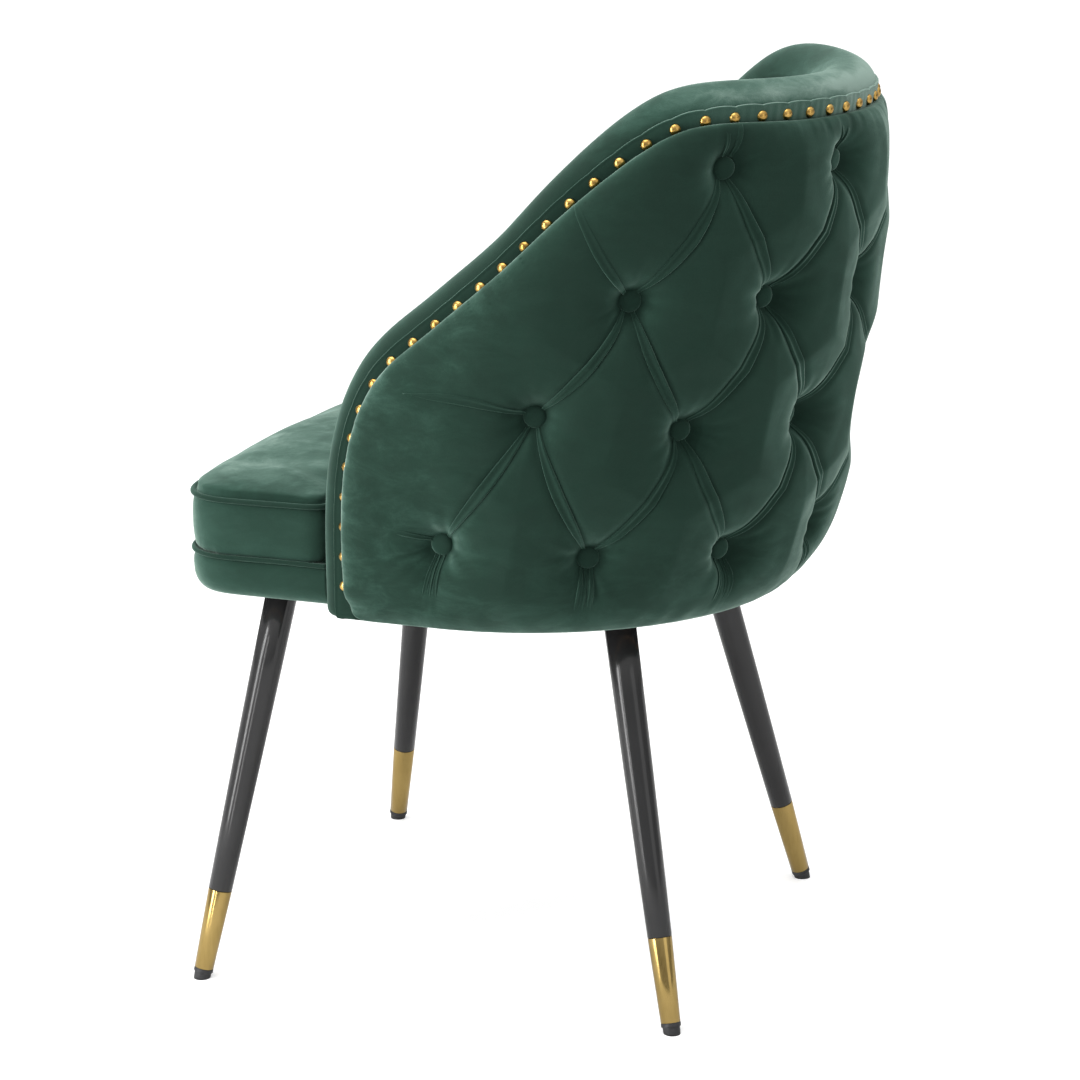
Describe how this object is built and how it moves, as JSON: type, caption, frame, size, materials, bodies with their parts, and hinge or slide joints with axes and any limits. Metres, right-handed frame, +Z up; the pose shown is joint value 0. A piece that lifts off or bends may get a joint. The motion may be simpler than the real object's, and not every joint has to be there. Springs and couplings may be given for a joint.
{
  "type": "dining chair",
  "caption": "Tub dining chair with a raked half-round buttoned back, nailhead trim, a boxed cushion seat with welts and splayed tapered metal legs with brass tips.",
  "frame": {"origin": "on the floor, under the middle of the chair's outer box", "axes": "+Z up, the front of the chair faces -Y, the sitter's left is +X"},
  "size_m": [0.564, 0.6201, 0.8477],
  "materials": {
    "velvet": "deep green velvet with a soft pale sheen",
    "black_steel": "gloss graphite black",
    "brass": "satin polished",
    "glide_plastic": "matte dark grey",
    "plywood": "raw birch plywood",
    "foam": "cut upholstery foam",
    "zinc_steel": "zinc plated",
    "dust_cloth": "thin black nonwoven cloth"
  },
  "bodies": {
    "root": {"leg_front_left": "black_steel", "ferrule_front_left": "brass", "glide_front_left": "glide_plastic", "leg_plate_front_left": "black_steel", "leg_bolt_front_left_1": "zinc_steel", "leg_bolt_front_left_2": "zinc_steel", "leg_front_right": "black_steel", "ferrule_front_right": "brass", "glide_front_right": "glide_plastic", "leg_plate_front_right": "black_steel", "leg_bolt_front_right_1": "zinc_steel", "leg_bolt_front_right_2": "zinc_steel", "leg_rear_left": "black_steel", "ferrule_rear_left": "brass", "glide_rear_left": "glide_plastic", "leg_plate_rear_left": "black_steel", "leg_bolt_rear_left_1": "zinc_steel", "leg_bolt_rear_left_2": "zinc_steel", "leg_rear_right": "black_steel", "ferrule_rear_right": "brass", "glide_rear_right": "glide_plastic", "leg_plate_rear_right": "black_steel", "leg_bolt_rear_right_1": "zinc_steel", "leg_bolt_rear_right_2": "zinc_steel", "seat_board": "plywood", "dust_cover": "dust_cloth", "seat_apron": "velvet", "seat_foam": "foam", "lower_welt": "velvet", "upper_welt": "velvet", "seat_cushion": "velvet", "back_frame": "plywood", "back_screw_1": "zinc_steel", "back_screw_2": "zinc_steel", "back_screw_3": "zinc_steel", "inside_back_pad": "velvet", "nailed_trim": "velvet", "outside_back_pad": "velvet", "button_1_1": "velvet", "button_1_2": "velvet", "button_1_3": "velvet", "button_1_4": "velvet", "button_1_5": "velvet", "button_1_6": "velvet", "button_1_7": "velvet", "button_2_1": "velvet", "button_2_2": "velvet", "button_2_3": "velvet", "button_2_4": "velvet", "button_2_5": "velvet", "button_2_6": "velvet", "button_3_1": "velvet", "button_3_2": "velvet", "button_3_3": "velvet", "button_3_4": "velvet", "button_3_5": "velvet", "button_4_1": "velvet", "button_4_2": "velvet", "button_4_3": "velvet", "button_4_4": "velvet"}
  },
  "joints": []
}
